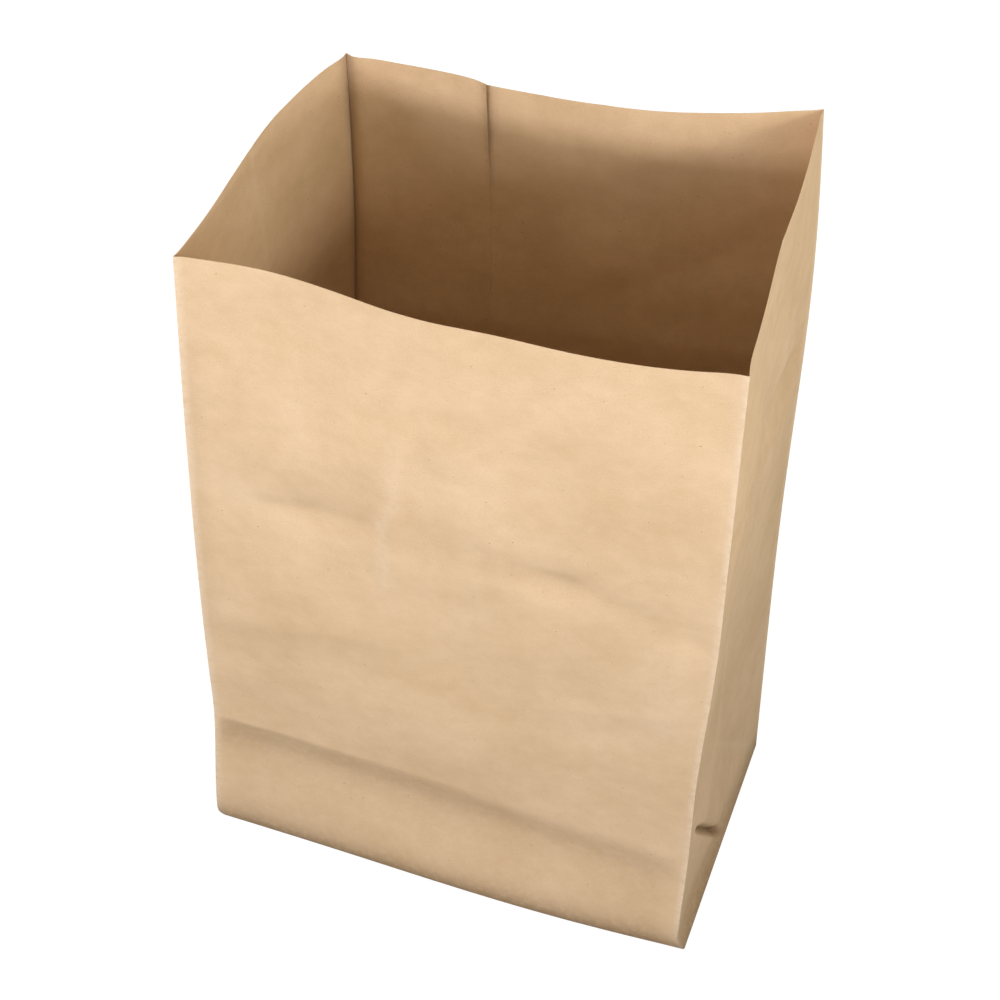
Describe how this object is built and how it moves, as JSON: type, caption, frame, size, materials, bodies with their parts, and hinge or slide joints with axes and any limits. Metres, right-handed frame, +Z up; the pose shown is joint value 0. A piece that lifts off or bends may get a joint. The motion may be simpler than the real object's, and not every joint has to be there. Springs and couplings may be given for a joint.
{
  "type": "paper lunch bag",
  "caption": "Open brown paper bag with side gussets, a crease above its base, a lap seam down the back and a folded flat base that it stands on.",
  "frame": {"origin": "on the ground under the middle of the bag's box", "axes": "+Z up out of the mouth, front panel towards -Y, +X to the right as seen from the front"},
  "size_m": [0.1326, 0.093, 0.2322],
  "materials": {
    "kraft_paper": "matte uncoated brown kraft with faint fibres and soft creases"
  },
  "bodies": {
    "root": {"paper_bag": "kraft_paper"}
  },
  "joints": []
}
